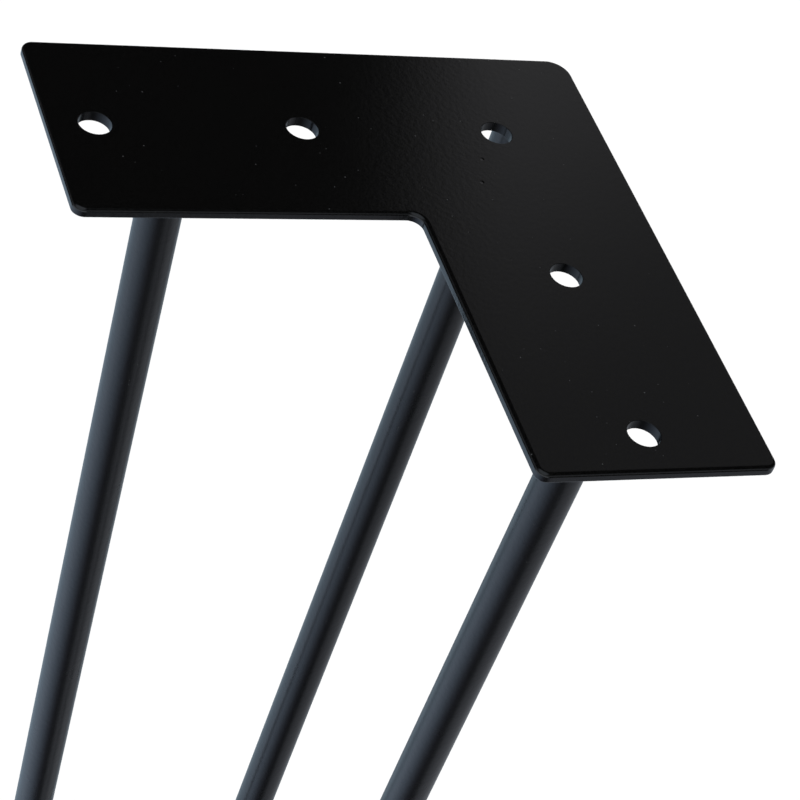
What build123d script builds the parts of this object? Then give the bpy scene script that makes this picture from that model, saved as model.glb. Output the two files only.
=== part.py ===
from build123d import *
from math import acos, atan2, cos, hypot, pi, sin, sqrt
import os

# Three-rod steel hairpin leg for a table, upright, +Z up, all sizes in millimetres.
# The origin is the axis of the corner screw hole at the plate's top face. +X runs
# along one arm of the plate, +Y along the other, and the leg hangs below z = 0.

# Mounting plate: an L cut from sheet, with two equal arms
arm_length = 125.0
arm_width = 52.0
plate_thickness = 2.3
outer_corner_radius = 5.0
inner_corner_radius = 3.0
end_corner_radius = 2.5
top_edge_radius = 0.9
under_edge_radius = 0.35

# Screw holes on the arms' centre lines: one at the corner and two more along each arm
hole_diameter = 7.0
hole_end_inset = 10.0
hole_edge_radius = 0.1
holes_along_arm = 2

# Leg
leg_height = 710.0
rod_diameter = 10.0

# Hairpin: one rod bent once at the foot, its two ends welded under the arms
hairpin_end_inset = 27.0
hairpin_side_inset = 27.0
hairpin_bend_radius = 35.0
foot_inset = 21.0

# Third rod: stands under the plate's corner and turns in at the foot to the hairpin
corner_top_inset = 14.0
corner_bend_radius = 9.0
corner_bend_tail = 4.0
root_gap = 0.6

# Weld beads: a fillet round each rod under the plate, and a collar at the foot
plate_bead_leg = 3.5
plate_bead_crown = 0.4
foot_bead_reach = 3.0
foot_bead_rise = 1.6
foot_bead_clearance = 0.6

# Worked out from the sizes above
rod_radius = rod_diameter / 2
underside = -plate_thickness
floor = -leg_height
foot_line = floor + rod_radius
arm_centre = arm_width / 2
hole_pitch = (arm_length - arm_centre - hole_end_inset) / holes_along_arm
hairpin_reach = arm_length - hairpin_end_inset
up = Vector(0, 0, 1)
diagonal = Vector(1, 1, 0).normalized()
across = Vector(1, -1, 0).normalized()


def on_plate(from_y_edge, from_x_edge, height):
    """The point at these distances from the plate's two outer edges."""
    return Vector(from_y_edge - arm_centre, from_x_edge - arm_centre, height)


def lean(run, rise, radius):
    """How far from upright a straight rod stands that is tangent to a bend and whose
    top lies run to the side of the bend's centre and rise above it."""
    return acos(radius / hypot(run, rise)) - atan2(rise, run)


# Mounting plate
with BuildPart() as top_plate:
    with BuildSketch(Plane.XY.offset(underside)) as outline:
        with Locations((-arm_centre, -arm_centre)):
            Rectangle(arm_length, arm_width, align=(Align.MIN, Align.MIN))
            Rectangle(arm_width, arm_length, align=(Align.MIN, Align.MIN))
        outer_corner = outline.vertices().sort_by_distance((-arm_centre, -arm_centre))[0]
        fillet(outer_corner, radius=outer_corner_radius)
        inner_corner = outline.vertices().sort_by_distance((arm_centre, arm_centre))[0]
        fillet(inner_corner, radius=inner_corner_radius)
        for axis in (Axis.X, Axis.Y):
            fillet(outline.vertices().group_by(axis)[-1], radius=end_corner_radius)
    extrude(amount=plate_thickness)
    along_arm = [step * hole_pitch for step in range(1, holes_along_arm + 1)]
    with Locations((0, 0), *[(x, 0) for x in along_arm], *[(0, y) for y in along_arm]):
        Hole(hole_diameter / 2)
    faces_by_height = top_plate.faces().filter_by(Axis.Z).sort_by(Axis.Z)
    lower_face, upper_face = faces_by_height[0], faces_by_height[-1]
    hole_edges = lower_face.edges().filter_by(GeomType.CIRCLE).filter_by(lambda edge: edge.is_closed)
    hole_edges += upper_face.edges().filter_by(GeomType.CIRCLE).filter_by(lambda edge: edge.is_closed)
    under_edges = lower_face.outer_wire().edges()
    top_edges = upper_face.outer_wire().edges()
    fillet(hole_edges, radius=hole_edge_radius)
    fillet(under_edges, radius=under_edge_radius)
    fillet(top_edges, radius=top_edge_radius)

# Hairpin rod, drawn in the leaning plane that holds both of its straight runs
hairpin_foot = on_plate(foot_inset, foot_inset, foot_line)
hairpin_top = on_plate(
    (hairpin_reach + hairpin_side_inset) / 2, (hairpin_reach + hairpin_side_inset) / 2, underside
)
hairpin_rise = (hairpin_top - hairpin_foot).length
hairpin_half_span = (hairpin_reach - hairpin_side_inset) / sqrt(2)
hairpin_lean = lean(hairpin_half_span, hairpin_rise - hairpin_bend_radius, hairpin_bend_radius)
hairpin_plane = Plane(
    origin=hairpin_foot, x_dir=across, z_dir=across.cross(hairpin_top - hairpin_foot)
)
bend_start_x = hairpin_bend_radius * cos(hairpin_lean)
bend_start_y = hairpin_bend_radius * (1 - sin(hairpin_lean))
run_past_plate = rod_diameter
end_x = hairpin_half_span + run_past_plate * sin(hairpin_lean)
end_y = hairpin_rise + run_past_plate * cos(hairpin_lean)

with BuildPart() as hairpin_rod:
    with BuildLine(hairpin_plane) as hairpin_path:
        Line((-end_x, end_y), (-bend_start_x, bend_start_y))
        ThreePointArc((-bend_start_x, bend_start_y), (0, 0), (bend_start_x, bend_start_y))
        Line((bend_start_x, bend_start_y), (end_x, end_y))
    with BuildSketch(Plane(origin=hairpin_path.line @ 0, z_dir=hairpin_path.line % 0)):
        Circle(rod_radius)
    sweep(path=hairpin_path.line)
    split(bisect_by=Plane.XY.offset(underside), keep=Keep.BOTTOM)

# Corner rod, drawn in the upright plane along the plate's diagonal, whose own x is the
# distance from the plate's outer corner and whose own y is the height
diagonal_plane = Plane(origin=on_plate(0, 0, 0), x_dir=diagonal, z_dir=diagonal.cross(up))
hairpin_foot_x = foot_inset * sqrt(2)
corner_top_x = corner_top_inset * sqrt(2)
corner_end_x = hairpin_foot_x - rod_radius - root_gap
bend_centre_x = corner_end_x - corner_bend_tail
bend_centre_y = foot_line + corner_bend_radius
corner_lean = lean(bend_centre_x - corner_top_x, underside - bend_centre_y, corner_bend_radius)


def on_corner_bend(angle):
    """A point of the corner rod's bend, from its upright side (0) to its lowest (90 degrees)."""
    return (
        bend_centre_x - corner_bend_radius * cos(angle),
        bend_centre_y - corner_bend_radius * sin(angle),
    )


corner_start = (
    corner_top_x - run_past_plate * sin(corner_lean),
    underside + run_past_plate * cos(corner_lean),
)

with BuildPart() as corner_rod:
    with BuildLine(diagonal_plane) as corner_path:
        Line(corner_start, on_corner_bend(corner_lean))
        ThreePointArc(
            on_corner_bend(corner_lean),
            on_corner_bend((corner_lean + pi / 2) / 2),
            on_corner_bend(pi / 2),
        )
        Line(on_corner_bend(pi / 2), (corner_end_x, foot_line))
    with BuildSketch(Plane(origin=corner_path.line @ 0, z_dir=corner_path.line % 0)):
        Circle(rod_radius)
    sweep(path=corner_path.line)
    split(bisect_by=Plane.XY.offset(underside), keep=Keep.BOTTOM)

# Plate welds: one bead turned about each rod's own axis and cut off at the plate
rod_tops = [
    (hairpin_path.line @ 0, hairpin_path.line % 0),
    (hairpin_path.line @ 1, hairpin_path.line % 1 * -1),
    (corner_path.line @ 0, corner_path.line % 0),
]

with BuildPart() as plate_welds:
    for start, downward in rod_tops:
        plate_centre = start + downward * ((start.Z - underside) / -downward.Z)
        square_to_rod = Plane(origin=plate_centre, z_dir=downward * -1)
        half_section = Plane(plate_centre, x_dir=square_to_rod.x_dir, z_dir=square_to_rod.y_dir * -1)
        with BuildSketch(half_section):
            with BuildLine():
                toe = (rod_radius, -plate_bead_leg)
                shoulder = (rod_radius + plate_bead_leg, 0)
                middle = plate_bead_leg / 2 + plate_bead_crown / sqrt(2)
                ThreePointArc(toe, (rod_radius + middle, -middle), shoulder)
                Polyline(shoulder, (shoulder[0], plate_bead_leg), (0, plate_bead_leg), (0, toe[1]), toe)
            make_face()
        revolve(axis=Axis(plate_centre, downward))
    split(bisect_by=Plane.XY.offset(underside), keep=Keep.BOTTOM)
    add(hairpin_rod.part, mode=Mode.SUBTRACT)
    add(corner_rod.part, mode=Mode.SUBTRACT)

# Foot weld: a collar that fills the root gap and is dressed back clear of the floor
with BuildPart() as foot_weld:
    with BuildSketch(diagonal_plane):
        with BuildLine():
            toe = (corner_end_x - foot_bead_reach, foot_line + rod_radius)
            crest = (corner_end_x, foot_line + rod_radius + foot_bead_rise)
            nose = (hairpin_foot_x, foot_line)
            ThreePointArc(toe, crest, nose)
            Polyline(nose, (toe[0], foot_line), toe)
        make_face()
    revolve(axis=Axis(diagonal_plane.from_local_coords(Vector(0, foot_line)), diagonal))
    split(bisect_by=Plane.XY.offset(floor + foot_bead_clearance), keep=Keep.TOP)
    add(hairpin_rod.part, mode=Mode.SUBTRACT)
    add(corner_rod.part, mode=Mode.SUBTRACT)

top_plate.part.label = "top_plate"
hairpin_rod.part.label = "hairpin_rod"
corner_rod.part.label = "corner_rod"
plate_welds.part.label = "plate_welds"
foot_weld.part.label = "foot_weld"

os.makedirs("parts", exist_ok=True)
export_step(top_plate.part, "parts/top_plate.step")
export_step(hairpin_rod.part, "parts/hairpin_rod.step")
export_step(corner_rod.part, "parts/corner_rod.step")
export_step(plate_welds.part, "parts/plate_welds.step")
export_step(foot_weld.part, "parts/foot_weld.step")
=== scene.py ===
from math import acos, atan2, cos, hypot, pi, radians, sin, sqrt

import bmesh
import bpy
from mathutils import Matrix, Vector


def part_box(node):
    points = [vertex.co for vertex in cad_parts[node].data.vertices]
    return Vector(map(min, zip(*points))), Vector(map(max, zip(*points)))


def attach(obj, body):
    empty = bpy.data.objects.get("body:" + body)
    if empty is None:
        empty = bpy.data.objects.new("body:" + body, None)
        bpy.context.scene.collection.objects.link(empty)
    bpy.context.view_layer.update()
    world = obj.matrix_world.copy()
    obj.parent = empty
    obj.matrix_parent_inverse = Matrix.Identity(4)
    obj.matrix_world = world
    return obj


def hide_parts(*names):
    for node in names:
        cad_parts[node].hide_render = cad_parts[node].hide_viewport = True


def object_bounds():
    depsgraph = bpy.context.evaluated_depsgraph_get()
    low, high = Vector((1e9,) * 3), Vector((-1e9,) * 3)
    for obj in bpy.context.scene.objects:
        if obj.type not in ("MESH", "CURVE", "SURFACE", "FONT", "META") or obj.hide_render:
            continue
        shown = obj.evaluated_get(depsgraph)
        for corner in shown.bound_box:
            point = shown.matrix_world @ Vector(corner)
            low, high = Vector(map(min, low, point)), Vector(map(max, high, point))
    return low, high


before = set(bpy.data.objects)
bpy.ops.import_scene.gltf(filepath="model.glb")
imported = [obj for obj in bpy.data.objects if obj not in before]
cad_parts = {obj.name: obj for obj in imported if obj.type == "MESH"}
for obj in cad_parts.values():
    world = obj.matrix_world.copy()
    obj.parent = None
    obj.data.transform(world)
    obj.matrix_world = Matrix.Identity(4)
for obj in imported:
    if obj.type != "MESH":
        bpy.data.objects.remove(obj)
cad_low, cad_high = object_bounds()

# Mounting plate: an L cut from 2.3 mm steel sheet with five screw holes, its edges
# rounded, then powder coated black. The coat is semi-gloss with a fine orange peel, and
# it holds a little dust and two small pits between the corner hole and the notch.
coat_black = (0.0012, 0.0012, 0.0012, 1.0)
coat_fleck = (0.0028, 0.0028, 0.0028, 1.0)
fleck_size = 0.0004
fleck_levels = (0.35, 0.65)
coat_roughness = 0.16
cloud_size = 0.02
cloud_detail = 3.0
cloud_roughness = 0.06
coat_gloss_index = 1.5
peel_size = 0.0012
peel_depth = 0.000027
grain_size = 0.00035
grain_depth = 0.000008
dust_grey = (0.042, 0.044, 0.046, 1.0)
dust_roughness = 0.4
dust_spacing = 0.0017
dust_size = 0.00016
dust_share = 0.9
dust_patch_size = 0.012
dust_patch_levels = (0.42, 0.68)
dust_between_patches = 0.1
pits = ((0.0065, 0.0087, 0.00008), (0.0091, 0.0161, 0.00014))
pit_radius = 0.0006
hole_radius = 0.0035
hole_wall_margin = 1.01
hole_end_inset = 0.010
holes_along_arm = 2
hole_roughness = 0.22
hole_shine = 0.3


class Signal:
    """One output of a node. Arithmetic on it adds Math nodes to the same tree."""

    def __init__(self, socket):
        self.socket = socket

    def math(self, operation, *values):
        nodes = Nodes(self.socket.id_data)
        return nodes.add("ShaderNodeMath", {"operation": operation}, dict(enumerate(values)))

    def __add__(self, other):
        return self.math("ADD", self, other)

    def __sub__(self, other):
        return self.math("SUBTRACT", self, other)

    def __rsub__(self, other):
        return self.math("SUBTRACT", other, self)

    def __mul__(self, other):
        return self.math("MULTIPLY", self, other)

    def __truediv__(self, other):
        return self.math("DIVIDE", self, other)

    def __rtruediv__(self, other):
        return self.math("DIVIDE", other, self)

    def __lt__(self, other):
        return self.math("LESS_THAN", self, other)

    def __gt__(self, other):
        return self.math("GREATER_THAN", self, other)

    __radd__ = __add__
    __rmul__ = __mul__


class Nodes:
    """The node tree of a material, a lamp card or the world."""

    def __init__(self, tree):
        self.tree = tree

    def feed(self, node, values):
        """Links the signals among the values to the node's sockets, and sets the rest there."""
        for name, value in values.items():
            if isinstance(value, Signal):
                self.tree.links.new(value.socket, node.inputs[name])
            else:
                node.inputs[name].default_value = value

    def add(self, kind, settings=None, values=None, output=0):
        """Adds a node with its settings, then feeds its sockets, and returns one output."""
        node = self.tree.nodes.new(kind)
        for name, setting in (settings or {}).items():
            if name == "stops":
                ramp = node.color_ramp
                ramp.elements.remove(ramp.elements[1])
                ramp.elements[0].position, ramp.elements[0].color = setting[0]
                for position, colour in setting[1:]:
                    ramp.elements.new(position).color = colour
            else:
                setattr(node, name, setting)
        self.feed(node, values or {})
        return Signal(node.outputs[output])

    def place(self):
        """Where on the object a point of its surface lies, in metres."""
        return self.add("ShaderNodeTexCoord", output="Object")

    def noise(self, size, detail=2.0):
        """A soft noise between 0 and 1, with features about this large."""
        return self.add(
            "ShaderNodeTexNoise",
            values={"Vector": self.place(), "Scale": 1 / size, "Detail": detail},
        )

    def eased(self, value, low, high, start=0.0, end=1.0):
        """Goes from start to end with an S curve while value goes from low to high."""
        values = {"Value": value, "From Min": low, "From Max": high, "To Min": start, "To Max": end}
        return self.add("ShaderNodeMapRange", {"interpolation_type": "SMOOTHSTEP"}, values)

    def away_from(self, point):
        """How far a point of the surface is from a point, or from an upright line (x, y)."""
        place = self.place()
        if len(point) == 2:
            place = self.add(
                "ShaderNodeVectorMath", {"operation": "MULTIPLY"}, {0: place, 1: (1, 1, 0)}
            )
        values = {0: place, 1: (*point, 0.0)[:3]}
        return self.add("ShaderNodeVectorMath", {"operation": "DISTANCE"}, values, output="Value")

    def mixed(self, share, first, second):
        """Goes from the first colour to the second while share goes from 0 to 1."""
        values = {0: share, 6: first, 7: second}
        return self.add("ShaderNodeMix", {"data_type": "RGBA"}, values, output=2)


def dust(nodes):
    """1 on a few scattered specks and 0 elsewhere."""
    cells = {"Vector": nodes.place(), "Scale": 1 / dust_spacing}
    reach = nodes.add("ShaderNodeTexVoronoi", values=cells, output="Distance")
    pick = nodes.add("ShaderNodeTexVoronoi", values=cells, output="Color")
    chance = nodes.add("ShaderNodeSeparateXYZ", values={0: pick}, output="X")
    size = nodes.add("ShaderNodeSeparateXYZ", values={0: pick}, output="Y")
    patches = nodes.noise(dust_patch_size)
    thick = nodes.eased(patches, *dust_patch_levels, dust_between_patches, 1.0)
    return (reach < size * (dust_size / dust_spacing)) * (chance < thick * dust_share)


def powder_coat(name, roughness=coat_roughness, peel=1.0, pitted=(), holes=()):
    """Black powder coat, with dimples of given depth in the top face and with a thin,
    dull coat on the walls of the holes."""
    material = bpy.data.materials.new(name)
    material.use_nodes = True
    nodes = Nodes(material.node_tree)
    shader = material.node_tree.nodes["Principled BSDF"]
    specks = dust(nodes)
    fleck = nodes.eased(nodes.noise(fleck_size), *fleck_levels)
    black = nodes.mixed(fleck, coat_black, coat_fleck)
    cloud = nodes.noise(cloud_size, cloud_detail) - 0.5
    height = (nodes.noise(peel_size) * peel_depth + nodes.noise(grain_size) * grain_depth) * peel
    for x, y, depth in pitted:
        away = nodes.away_from((x, y, 0.0))
        height = height - nodes.eased(away, 0.0, pit_radius, depth, 0.0)
    bump = nodes.add("ShaderNodeBump", values={"Height": height, "Distance": 1.0})
    nodes.feed(shader, {
        "Base Color": nodes.mixed(specks, black, dust_grey),
        "Roughness": roughness + cloud * cloud_roughness + specks * dust_roughness,
        "Normal": bump,
        "IOR": coat_gloss_index,
    })
    if holes:
        wall = hole_radius * hole_wall_margin
        in_hole = sum(nodes.away_from((x, y)) < wall for x, y in holes)
        thin_coat = nodes.add("ShaderNodeBsdfPrincipled", values={
            "Base Color": coat_black, "Roughness": hole_roughness, "Specular IOR Level": hole_shine,
        })
        shown = nodes.add("ShaderNodeMixShader", values={
            0: in_hole, 1: Signal(shader.outputs[0]), 2: thin_coat,
        })
        nodes.feed(material.node_tree.nodes["Material Output"], {"Surface": shown})
    return material


def paint(piece, material):
    """Gives a piece one material all over."""
    piece.data.materials.clear()
    piece.data.materials.append(material)


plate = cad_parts["top_plate"]
plate_low, plate_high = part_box("top_plate")
underside = plate_low.z
outer_corner = Vector((plate_low.x, plate_low.y, 0))
arm_length = plate_high.x - plate_low.x
hole_pitch = (plate_high.x - hole_end_inset) / holes_along_arm
hole_steps = [step * hole_pitch for step in range(1, holes_along_arm + 1)]
screw_holes = [(0.0, 0.0), *[(x, 0.0) for x in hole_steps], *[(0.0, y) for y in hole_steps]]
paint(plate, powder_coat("plate_coat", pitted=pits, holes=screw_holes))

# Hairpin: one 10 mm round bar, drawn smooth, bent once at the foot and cut to meet the
# plate's underside. Its two straight runs open towards the ends of the plate's arms.
rod_radius = 0.005
hairpin_end_inset = 0.027
hairpin_side_inset = 0.027
hairpin_bend_radius = 0.035
foot_inset = 0.021
ring_segments = 72
run_steps = 24
bend_steps = 48
run_past_plate = 0.01
cut_reach = 1e-7
rod_roughness = 0.28
rod_peel = 1.4
up = Vector((0, 0, 1))
diagonal = Vector((1, 1, 0)).normalized()
across = Vector((1, -1, 0)).normalized()
floor_height = cad_low.z
foot_line = floor_height + rod_radius
rod_coat = powder_coat("rod_coat", roughness=rod_roughness, peel=rod_peel)


def lean(run, rise, radius):
    """How far from upright a straight run stands that is tangent to a bend and whose
    top lies run to the side of the bend's centre and rise above it."""
    return acos(radius / hypot(run, rise)) - atan2(rise, run)


def ring(bm, centre, axis, radius):
    """A loop of edges round a point, square to an axis."""
    turned = axis.to_track_quat("Z", "Y").to_matrix().to_4x4()
    made = bmesh.ops.create_circle(
        bm, cap_ends=False, segments=ring_segments, radius=radius,
        matrix=Matrix.Translation(centre) @ turned,
    )
    edges = [edge for vert in made["verts"] for edge in vert.link_edges]
    return list(dict.fromkeys(edges))


def run(bm, loop, way):
    """Draws a loop out along a straight way and returns the loop at its end."""
    for _ in range(run_steps):
        grown = bmesh.ops.extrude_edge_only(bm, edges=loop)["geom"]
        verts = [item for item in grown if isinstance(item, bmesh.types.BMVert)]
        edges = [item for item in grown if isinstance(item, bmesh.types.BMEdge)]
        loop = [edge for edge in edges if all(vert in verts for vert in edge.verts)]
        bmesh.ops.translate(bm, verts=verts, vec=way / run_steps)
    return loop


def bend(bm, loop, centre, axis, angle):
    """Turns a loop round a bend's centre and returns the loop at its end."""
    spun = bmesh.ops.spin(
        bm, geom=loop, cent=centre, axis=axis, angle=angle, steps=bend_steps, use_merge=False
    )
    return [item for item in spun["geom_last"] if isinstance(item, bmesh.types.BMEdge)]


def close_at(bm, point, normal):
    """Cuts off what lies past a plane, and closes every open loop with a flat face."""
    geometry = bm.verts[:] + bm.edges[:] + bm.faces[:]
    bmesh.ops.bisect_plane(
        bm, geom=geometry, dist=cut_reach, plane_co=point, plane_no=normal, clear_outer=True
    )
    open_edges = [edge for edge in bm.edges if edge.is_boundary]
    return bmesh.ops.edgeloop_fill(bm, edges=open_edges)["faces"]


def piece_from(bm, name, flat_faces, material, closed=True):
    """Ends a bmesh as a piece: smooth but for its flat faces, whose rims stay sharp.
    The faces of a closed one are turned outwards."""
    if closed:
        bmesh.ops.recalc_face_normals(bm, faces=bm.faces)
    flat = {face for face in flat_faces if face.is_valid}
    for face in bm.faces:
        face.smooth = face not in flat
    for face in flat:
        for edge in face.edges:
            edge.smooth = False
    mesh = bpy.data.meshes.new(name)
    bm.to_mesh(mesh)
    bm.free()
    piece = bpy.data.objects.new(name, mesh)
    bpy.context.scene.collection.objects.link(piece)
    paint(piece, material)
    return piece


hairpin_foot = outer_corner + Vector((foot_inset, foot_inset, foot_line))
hairpin_middle = (arm_length - hairpin_end_inset + hairpin_side_inset) / 2
hairpin_top = outer_corner + Vector((hairpin_middle, hairpin_middle, underside))
hairpin_half_span = (arm_length - hairpin_end_inset - hairpin_side_inset) / sqrt(2)
hairpin_up = (hairpin_top - hairpin_foot).normalized()
hairpin_rise = (hairpin_top - hairpin_foot).length
hairpin_lean = lean(hairpin_half_span, hairpin_rise - hairpin_bend_radius, hairpin_bend_radius)
hairpin_down = across * sin(hairpin_lean) - hairpin_up * cos(hairpin_lean)
hairpin_rising = across * sin(hairpin_lean) + hairpin_up * cos(hairpin_lean)
hairpin_start = hairpin_top - across * hairpin_half_span - hairpin_down * run_past_plate
bend_start = (
    hairpin_foot
    - across * hairpin_bend_radius * cos(hairpin_lean)
    + hairpin_up * hairpin_bend_radius * (1 - sin(hairpin_lean))
)
hairpin_run = (bend_start - hairpin_start).length
bm = bmesh.new()
loop = ring(bm, hairpin_start, hairpin_down, rod_radius)
loop = run(bm, loop, hairpin_down * hairpin_run)
loop = bend(
    bm, loop, hairpin_foot + hairpin_up * hairpin_bend_radius,
    across.cross(hairpin_up), pi - 2 * hairpin_lean,
)
run(bm, loop, hairpin_rising * hairpin_run)
ends = close_at(bm, Vector((0, 0, underside)), up)
hairpin = piece_from(bm, "hairpin_round_bar", ends, rod_coat)
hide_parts("hairpin_rod")
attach(hairpin, "root")

# Third rod: the same bar, standing under the plate's corner. It turns in at the foot
# with a short flat tail, which ends a root gap short of the side of the hairpin's bend.
corner_top_inset = 0.014
corner_bend_radius = 0.009
corner_bend_tail = 0.004
root_gap = 0.0006
hairpin_foot_x = foot_inset * sqrt(2)
corner_top_x = corner_top_inset * sqrt(2)
corner_end_x = hairpin_foot_x - rod_radius - root_gap
bend_centre_x = corner_end_x - corner_bend_tail
bend_centre_z = foot_line + corner_bend_radius
corner_lean = lean(bend_centre_x - corner_top_x, underside - bend_centre_z, corner_bend_radius)


def on_diagonal(inward, height):
    """The point this far in from the plate's outer corner along its diagonal."""
    return outer_corner + diagonal * inward + up * height


corner_down = diagonal * sin(corner_lean) - up * cos(corner_lean)
corner_start = on_diagonal(corner_top_x, underside) - corner_down * run_past_plate
corner_bend_start = on_diagonal(
    bend_centre_x - corner_bend_radius * cos(corner_lean),
    bend_centre_z - corner_bend_radius * sin(corner_lean),
)
bm = bmesh.new()
loop = ring(bm, corner_start, corner_down, rod_radius)
loop = run(bm, loop, corner_bend_start - corner_start)
loop = bend(
    bm, loop, on_diagonal(bend_centre_x, bend_centre_z),
    diagonal.cross(up), pi / 2 - corner_lean,
)
run(bm, loop, diagonal * corner_bend_tail)
ends = close_at(bm, Vector((0, 0, underside)), up)
corner = piece_from(bm, "corner_round_bar", ends, rod_coat)
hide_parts("corner_rod")
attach(corner, "root")

# Plate welds: one fillet bead laid round each rod against the plate's underside, its
# overlapping ripples softened by the same black coat.
plate_bead_leg = 0.0035
plate_bead_crown = 0.0004
plate_bead_ripples = 24
bead_root_depth = 0.0005
arc_steps = 12
arc_tolerance = 1e-3
steps_per_ripple = 8
merge_reach = 1e-6
ripple_depth = 0.00016
ripple_floor = 0.6
ripple_bow = 1.3
drift_lobes = (2, 5)
drift_starts = (900, 700)
drift_shift = 0.28
drift_depth = 0.3
weld_roughness = 0.26
bead_root = rod_radius - bead_root_depth
weld_coat = powder_coat("weld_coat", roughness=weld_roughness, peel=rod_peel)


def arc_centre(first, middle, last):
    """The centre of the circle through three points, each an (x, y) pair."""
    (ax, ay), (bx, by), (cx, cy) = first, middle, last
    span = 2 * (ax * (by - cy) + bx * (cy - ay) + cx * (ay - by))
    a, b, c = ax * ax + ay * ay, bx * bx + by * by, cx * cx + cy * cy
    return (
        (a * (by - cy) + b * (cy - ay) + c * (ay - by)) / span,
        (a * (cx - bx) + b * (ax - cx) + c * (bx - ax)) / span,
    )


def bead(bm, origin, axis, arc, closing, ripples):
    """A weld bead turned about an axis. Its section is an arc through three points, each
    (distance from the axis, distance along it), then straight lines to the closing points.
    Ripples are pressed into what the arc sweeps, and they drift, so that no two are alike."""
    out = axis.orthogonal().normalized()
    side = axis.cross(out)
    first, middle, last = (origin + out * x + axis * y for x, y in arc)
    centre_out, centre_along = arc_centre(*arc)
    centre = origin + out * centre_out + axis * centre_along
    reach = (first - centre).length
    sweep = (first - centre).angle(last - centre)
    section = bmesh.new()
    tip = [section.verts.new(first)]
    turning = (first - centre).cross(middle - centre)
    tip = bmesh.ops.spin(
        section, geom=tip, cent=centre, axis=turning, angle=sweep, steps=arc_steps, use_merge=False
    )["geom_last"]
    for x, y in closing:
        tip = bmesh.ops.extrude_vert_indiv(section, verts=tip)["verts"]
        tip[0].co = origin + out * x + axis * y
    bmesh.ops.spin(
        section, geom=section.verts[:] + section.edges[:], cent=origin, axis=axis,
        angle=2 * pi, steps=ripples * steps_per_ripple, use_merge=True,
    )
    bmesh.ops.remove_doubles(section, verts=section.verts, dist=merge_reach)
    for vert in section.verts:
        arm = vert.co - origin
        angle = atan2(arm.dot(side), arm.dot(out))
        outward = out * cos(angle) + side * sin(angle)
        middle_of_arc = origin + outward * centre_out + axis * centre_along
        spoke = vert.co - middle_of_arc
        if abs(spoke.length - reach) > reach * arc_tolerance:
            continue
        start = outward * (arc[0][0] - centre_out) + axis * (arc[0][1] - centre_along)
        along = start.angle(spoke) / sweep
        if along > 1:
            continue
        drift = (
            sin(drift_lobes[0] * angle + drift_starts[0] * origin.x)
            + sin(drift_lobes[1] * angle + drift_starts[1] * origin.y)
        )
        turn = ripples * angle / (2 * pi) + ripple_bow * (along - 0.5) ** 2 + drift_shift * drift
        valley = (0.5 + 0.5 * cos(2 * pi * turn)) ** 2 + drift_depth * drift + ripple_floor
        vert.co -= spoke.normalized() * ripple_depth * valley * sin(pi * along)
    made = bpy.data.meshes.new("bead")
    section.to_mesh(made)
    section.free()
    bm.from_mesh(made)
    bpy.data.meshes.remove(made)


plate_bead_middle = plate_bead_leg / 2 + plate_bead_crown / sqrt(2)
plate_bead_arc = (
    (rod_radius, -plate_bead_leg),
    (rod_radius + plate_bead_middle, -plate_bead_middle),
    (rod_radius + plate_bead_leg, 0),
)
plate_bead_closing = (
    (rod_radius + plate_bead_leg, plate_bead_leg),
    (bead_root, plate_bead_leg),
    (bead_root, -plate_bead_leg),
    (rod_radius, -plate_bead_leg),
)
rod_tops = (
    (hairpin_top - across * hairpin_half_span, hairpin_down),
    (hairpin_top + across * hairpin_half_span, -hairpin_rising),
    (on_diagonal(corner_top_x, underside), corner_down),
)
bm = bmesh.new()
for top, down in rod_tops:
    bead(bm, top, -down, plate_bead_arc, plate_bead_closing, plate_bead_ripples)
ends = close_at(bm, Vector((0, 0, underside)), up)
plate_beads = piece_from(bm, "plate_fillet_welds", ends, weld_coat)
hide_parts("plate_welds")
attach(plate_beads, "root")

# Foot weld: a collar of weld that joins the third rod's tail to the hairpin's bend. It
# is dressed flat underneath, so that the leg stands on its rods.
foot_bead_reach = 0.003
foot_bead_rise = 0.0016
foot_bead_clearance = 0.0006
foot_bead_ripples = 19
foot_bead_arc = (
    (0, hairpin_foot_x),
    (rod_radius + foot_bead_rise, corner_end_x),
    (rod_radius, corner_end_x - foot_bead_reach),
)
foot_bead_closing = ((0, corner_end_x - foot_bead_reach),)
bm = bmesh.new()
bead(bm, on_diagonal(0, foot_line), diagonal, foot_bead_arc, foot_bead_closing, foot_bead_ripples)
ends = close_at(bm, Vector((0, 0, floor_height + foot_bead_clearance)), -up)
foot_bead = piece_from(bm, "foot_collar_weld", ends, weld_coat)
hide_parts("foot_weld")
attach(foot_bead, "root")

# Camera: above the plate on the open side of the L, looking down past it at the foot,
# and rolled so that one arm runs level across the top of the picture.
camera_aim = Vector((0.04788, 0.07881, 0))
camera_distance = 0.49144
camera_heading = 147.741
camera_pitch = 48.964
camera_roll = 21.373
camera_lens = 118.4
camera_sensor = 36
camera_nearest = 0.01
turn = (
    Matrix.Rotation(radians(camera_heading), 4, "Z")
    @ Matrix.Rotation(radians(camera_pitch), 4, "X")
    @ Matrix.Rotation(radians(camera_roll), 4, "Z")
)
camera_data = bpy.data.cameras.new("camera")
camera_data.lens = camera_lens
camera_data.sensor_width = camera_sensor
camera_data.clip_start = camera_nearest
camera = bpy.data.objects.new("camera", camera_data)
camera.matrix_world = Matrix.Translation(camera_aim + turn @ Vector((0, 0, camera_distance))) @ turn
bpy.context.scene.collection.objects.link(camera)
bpy.context.scene.camera = camera

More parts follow.
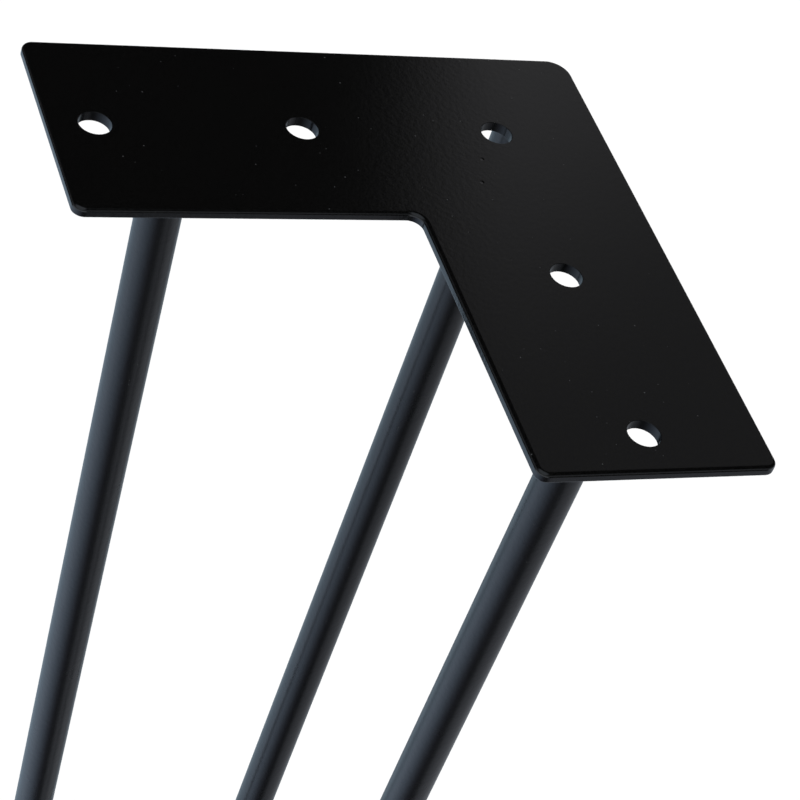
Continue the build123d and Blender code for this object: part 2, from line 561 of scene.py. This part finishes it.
# Floor: a plain white studio floor that the foot stands on. Seen from below it lets the
# view through, so that the plate's underside can be looked at too.
floor_reach = 25.0
floor_white = (0.97, 0.97, 0.97, 1.0)
floor_roughness = 0.9
floor_shine = 0.0
floor_material = bpy.data.materials.new("floor_white")
floor_material.use_nodes = True
floor_nodes = Nodes(floor_material.node_tree)
floor_shader = floor_material.node_tree.nodes["Principled BSDF"]
floor_nodes.feed(floor_shader, {
    "Base Color": floor_white, "Roughness": floor_roughness, "Specular IOR Level": floor_shine,
})
below = floor_nodes.add("ShaderNodeNewGeometry", output="Backfacing")
shown = floor_nodes.add("ShaderNodeMixShader", values={
    0: below, 1: Signal(floor_shader.outputs[0]), 2: floor_nodes.add("ShaderNodeBsdfTransparent"),
})
floor_nodes.feed(floor_material.node_tree.nodes["Material Output"], {"Surface": shown})
bm = bmesh.new()
bmesh.ops.create_grid(
    bm, x_segments=1, y_segments=1, size=floor_reach,
    matrix=Matrix.Translation((0, 0, floor_height)),
)
floor = piece_from(bm, "floor", (), floor_material, closed=False)

# Studio light: a room that looks white and lights evenly, and one soft lamp above. The
# ceiling with its walls, the floor ring and the strip only show in the coat's reflections.
room_white = (1.0, 1.0, 1.0, 1.0)
room_light = (0.62, 0.62, 0.62, 1.0)
lamp_strength = 1.42
lamp_spread = 12
lamp_tilt = (10, -8)
ceiling_radius = 3.0
ceiling_segments = (48, 24)
ceiling_dim = (0.010, 0.010, 0.010, 1.0)
ceiling_edge = (-0.12, -0.02)
wall_light = (0.30, 0.32, 0.35, 1.0)
wall_top = (0.27, 0.42)
open_way = Vector((0.53, 0.85, 0.0))
open_edge = (-0.45, 0.10)
window_light = (0.62, 0.68, 0.76, 1.0)
window_way = Vector((0.50, 0.45, 0.74)).normalized()
window_edge = (0.66, 0.90)
floor_ring_radius = 8.0
floor_ring_segments = 64
floor_ring_lift = 0.001
floor_ring_edge = (1.0, 1.7)
inner_ring_colours = (
    (-180, (0.38, 0.40, 0.44)),
    (-95, (0.42, 0.54, 0.64)),
    (-45, (0.60, 0.78, 0.98)),
    (-10, (0.85, 1.03, 1.30)),
    (25, (0.60, 0.75, 0.98)),
    (60, (0.22, 0.25, 0.33)),
    (78, (0.07, 0.07, 0.09)),
    (98, (0.07, 0.08, 0.09)),
    (116, (0.32, 0.34, 0.39)),
    (180, (0.38, 0.40, 0.44)),
)
outer_dark = (0.010, 0.010, 0.010)
outer_light = (0.95, 1.03, 1.14)
outer_ring_colours = (
    (-180, outer_light),
    (-165, outer_dark),
    (-30, outer_dark),
    (-12, outer_light),
    (92, outer_light),
    (106, outer_dark),
    (127, outer_dark),
    (140, outer_light),
)
strip_centre = Vector((-0.0892, -0.1763, 0.1444))
strip_facing = Vector((-0.414, -0.7036, 0.5776))
strip_size = 0.4
strip_edge = (-0.022, 0.026)
strip_slant = 0.30
strip_bright_spot = (-0.060, -0.065)
strip_bright = 0.46
strip_dim = 0.137
strip_fade = 0.194
strip_blue = 1.04


def card(bm, name, paint_light):
    """A stage card that glows and that only reflections see. paint_light(nodes) gives
    its colour and how solid it is."""
    material = bpy.data.materials.new(name)
    material.use_nodes = True
    nodes = Nodes(material.node_tree)
    colour, solid = paint_light(nodes)
    glow = nodes.add("ShaderNodeEmission", values={"Color": colour})
    clear = nodes.add("ShaderNodeBsdfTransparent")
    shown = nodes.add("ShaderNodeMixShader", values={0: solid, 1: clear, 2: glow})
    nodes.feed(material.node_tree.nodes["Material Output"], {"Surface": shown})
    made = piece_from(bm, name, (), material, closed=False)
    made.visible_camera = False
    made.visible_diffuse = False
    made.visible_transmission = False
    made.visible_shadow = False
    return made


def coordinate(nodes, axis):
    """One coordinate of a point of the card."""
    return nodes.add("ShaderNodeSeparateXYZ", values={0: nodes.place()}, output=axis)


def towards(nodes, way):
    """The cosine of the angle between a point of the card, seen from the plate, and a way."""
    seen = nodes.add("ShaderNodeVectorMath", {"operation": "NORMALIZE"}, {0: nodes.place()})
    values = {0: seen, 1: way}
    return nodes.add("ShaderNodeVectorMath", {"operation": "DOT_PRODUCT"}, values, output="Value")


def ceiling_light(nodes):
    """Near black overhead, a grey wall low down on the open side, and a soft pale window."""
    height = coordinate(nodes, "Z") / ceiling_radius
    wall = nodes.eased(height, *wall_top, 1.0, 0.0) * nodes.eased(towards(nodes, open_way), *open_edge)
    colour = nodes.mixed(wall, ceiling_dim, wall_light)
    window = nodes.eased(towards(nodes, window_way), *window_edge)
    return nodes.mixed(window, colour, window_light), nodes.eased(height, *ceiling_edge)


def round_about(nodes, colours):
    """Colours that change round the leg, each given with its bearing in degrees from +X."""
    values = {0: coordinate(nodes, "Y"), 1: coordinate(nodes, "X")}
    angle = nodes.add("ShaderNodeMath", {"operation": "ARCTAN2"}, values)
    stops = [((degrees + 180) / 360, (*colour, 1.0)) for degrees, colour in colours]
    return nodes.add("ShaderNodeValToRGB", {"stops": stops}, {0: angle / (2 * pi) + 0.5})


def floor_ring_light(nodes):
    """One ring of colours near the leg and another beyond it, solid all over."""
    inner = round_about(nodes, inner_ring_colours)
    outer = round_about(nodes, outer_ring_colours)
    beyond = nodes.eased(nodes.away_from((0.0, 0.0)), *floor_ring_edge)
    return nodes.mixed(beyond, inner, outer), 1.0


def strip_light(nodes):
    """Brightest at one spot, and clear on one side of a slanting soft edge."""
    x, y = coordinate(nodes, "X"), coordinate(nodes, "Y")
    away = nodes.away_from((*strip_bright_spot, 0.0))
    level = nodes.eased(away, 0.0, strip_fade, strip_bright, strip_dim)
    colour = nodes.add("ShaderNodeCombineXYZ", values={0: level, 1: level, 2: level * strip_blue})
    return colour, nodes.eased(x - y * strip_slant, *strip_edge)


bm = bmesh.new()
bmesh.ops.create_uvsphere(
    bm, u_segments=ceiling_segments[0], v_segments=ceiling_segments[1], radius=ceiling_radius
)
bmesh.ops.bisect_plane(
    bm, geom=bm.verts[:] + bm.edges[:] + bm.faces[:],
    plane_co=(0, 0, ceiling_radius * ceiling_edge[0]), plane_no=(0, 0, -1), clear_outer=True,
)
card(bm, "dark_ceiling", ceiling_light)
bm = bmesh.new()
bmesh.ops.create_circle(
    bm, cap_ends=True, segments=floor_ring_segments, radius=floor_ring_radius,
    matrix=Matrix.Translation((0, 0, floor_height + floor_ring_lift)),
)
card(bm, "coloured_ring", floor_ring_light)
bm = bmesh.new()
bmesh.ops.create_grid(bm, x_segments=1, y_segments=1, size=strip_size / 2)
strip = card(bm, "light_strip", strip_light)
strip_right = strip_facing.cross(up).normalized()
strip_up = strip_right.cross(strip_facing)
strip.matrix_world = Matrix.Translation(strip_centre) @ Matrix(
    (strip_right, strip_up, strip_facing)
).transposed().to_4x4()

lamp_data = bpy.data.lights.new("soft_lamp", "SUN")
lamp_data.energy = lamp_strength
lamp_data.angle = radians(lamp_spread)
lamp = bpy.data.objects.new("soft_lamp", lamp_data)
lamp.rotation_euler = (radians(lamp_tilt[0]), radians(lamp_tilt[1]), 0)
lamp.visible_glossy = False
bpy.context.scene.collection.objects.link(lamp)

world = bpy.data.worlds.new("studio")
bpy.context.scene.world = world
world.use_nodes = True
world_nodes = Nodes(world.node_tree)
looked_at = sum(
    world_nodes.add("ShaderNodeLightPath", output=ray)
    for ray in ("Is Camera Ray", "Is Glossy Ray", "Is Transmission Ray")
)
room = world_nodes.mixed(looked_at, room_light, room_white)
world_nodes.feed(world.node_tree.nodes["Background"], {"Color": room})

bpy.context.scene.view_settings.view_transform = "Standard"
